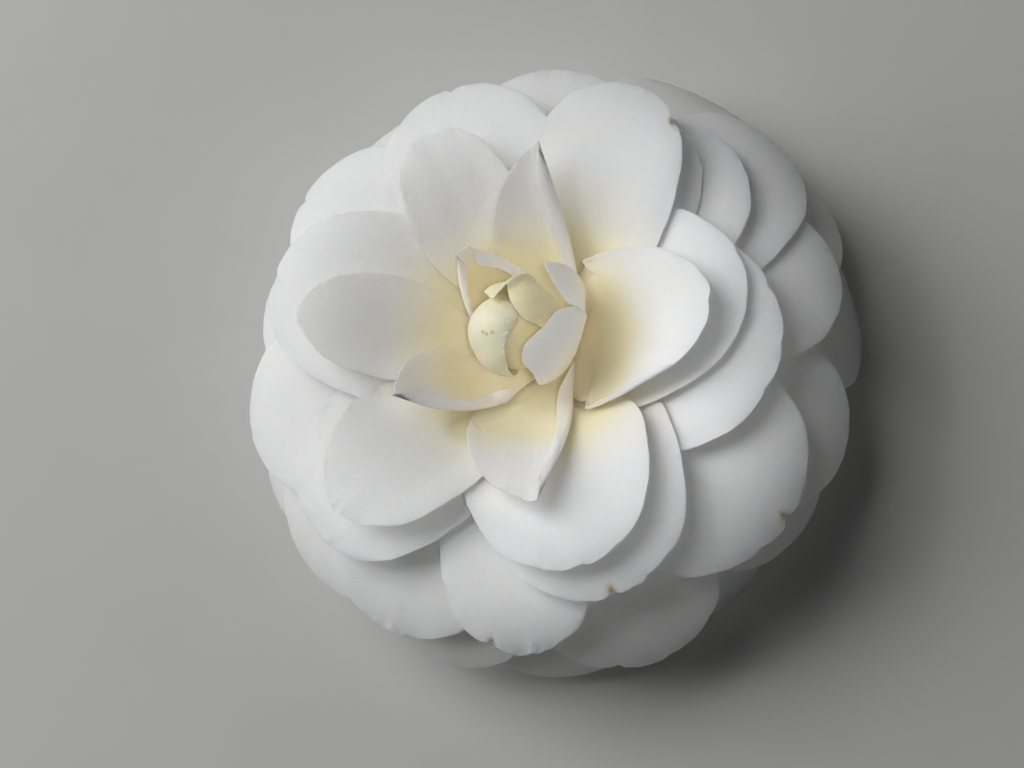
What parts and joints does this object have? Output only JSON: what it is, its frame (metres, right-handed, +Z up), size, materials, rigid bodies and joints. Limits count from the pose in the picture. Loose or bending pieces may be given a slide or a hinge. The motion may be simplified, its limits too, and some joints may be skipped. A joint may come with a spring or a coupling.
{
  "type": "camellia flower",
  "caption": "White formal double camellia bloom with overlapping rounded petals round a furled cream heart, picked and resting face up on its drooping guard petals.",
  "frame": {"origin": "centre of the bloom's bounding box in plan, on the surface that the guard petals rest on", "axes": "+Z up out of the face of the flower along its axis; +X to the right and +Y to the top of the face as it is looked at from above"},
  "size_m": [0.1044, 0.1056, 0.0431],
  "materials": {
    "petal": "matt, faintly velvety white petal, slightly translucent",
    "inner_petal": "matt white petal turning cream towards its base, slightly translucent",
    "heart": "smooth cream-yellow furled petals, soft sheen",
    "sepal": "matt green with brownish, silky margins",
    "stalk": "matt brown-green bark"
  },
  "bodies": {
    "root": {"heart": "heart", "heart_hood_left": "heart", "heart_hood_right": "heart", "heart_hood_outer": "heart", "inner_1": "inner_petal", "inner_2": "inner_petal", "inner_3": "inner_petal", "inner_4": "inner_petal", "inner_5": "inner_petal", "row_a_1": "petal", "row_a_2": "petal", "row_a_3": "petal", "row_a_4": "petal", "row_a_5": "petal", "row_a_6": "petal", "row_b_1": "petal", "row_b_2": "petal", "row_b_3": "petal", "row_b_4": "petal", "row_b_5": "petal", "row_b_6": "petal", "row_b_7": "petal", "row_c_1": "petal", "row_c_2": "petal", "row_c_3": "petal", "row_c_4": "petal", "row_c_5": "petal", "row_c_6": "petal", "row_c_7": "petal", "row_c_8": "petal", "row_d_1": "petal", "row_d_2": "petal", "row_d_3": "petal", "row_d_4": "petal", "row_d_5": "petal", "row_d_6": "petal", "row_d_7": "petal", "row_d_8": "petal", "row_d_9": "petal", "guard_1": "petal", "guard_2": "petal", "guard_3": "petal", "guard_4": "petal", "guard_5": "petal", "guard_6": "petal", "guard_7": "petal", "guard_8": "petal", "guard_9": "petal", "sepal_1": "sepal", "sepal_2": "sepal", "sepal_3": "sepal", "sepal_4": "sepal", "sepal_5": "sepal", "sepal_6": "sepal", "stalk": "stalk"}
  },
  "joints": []
}
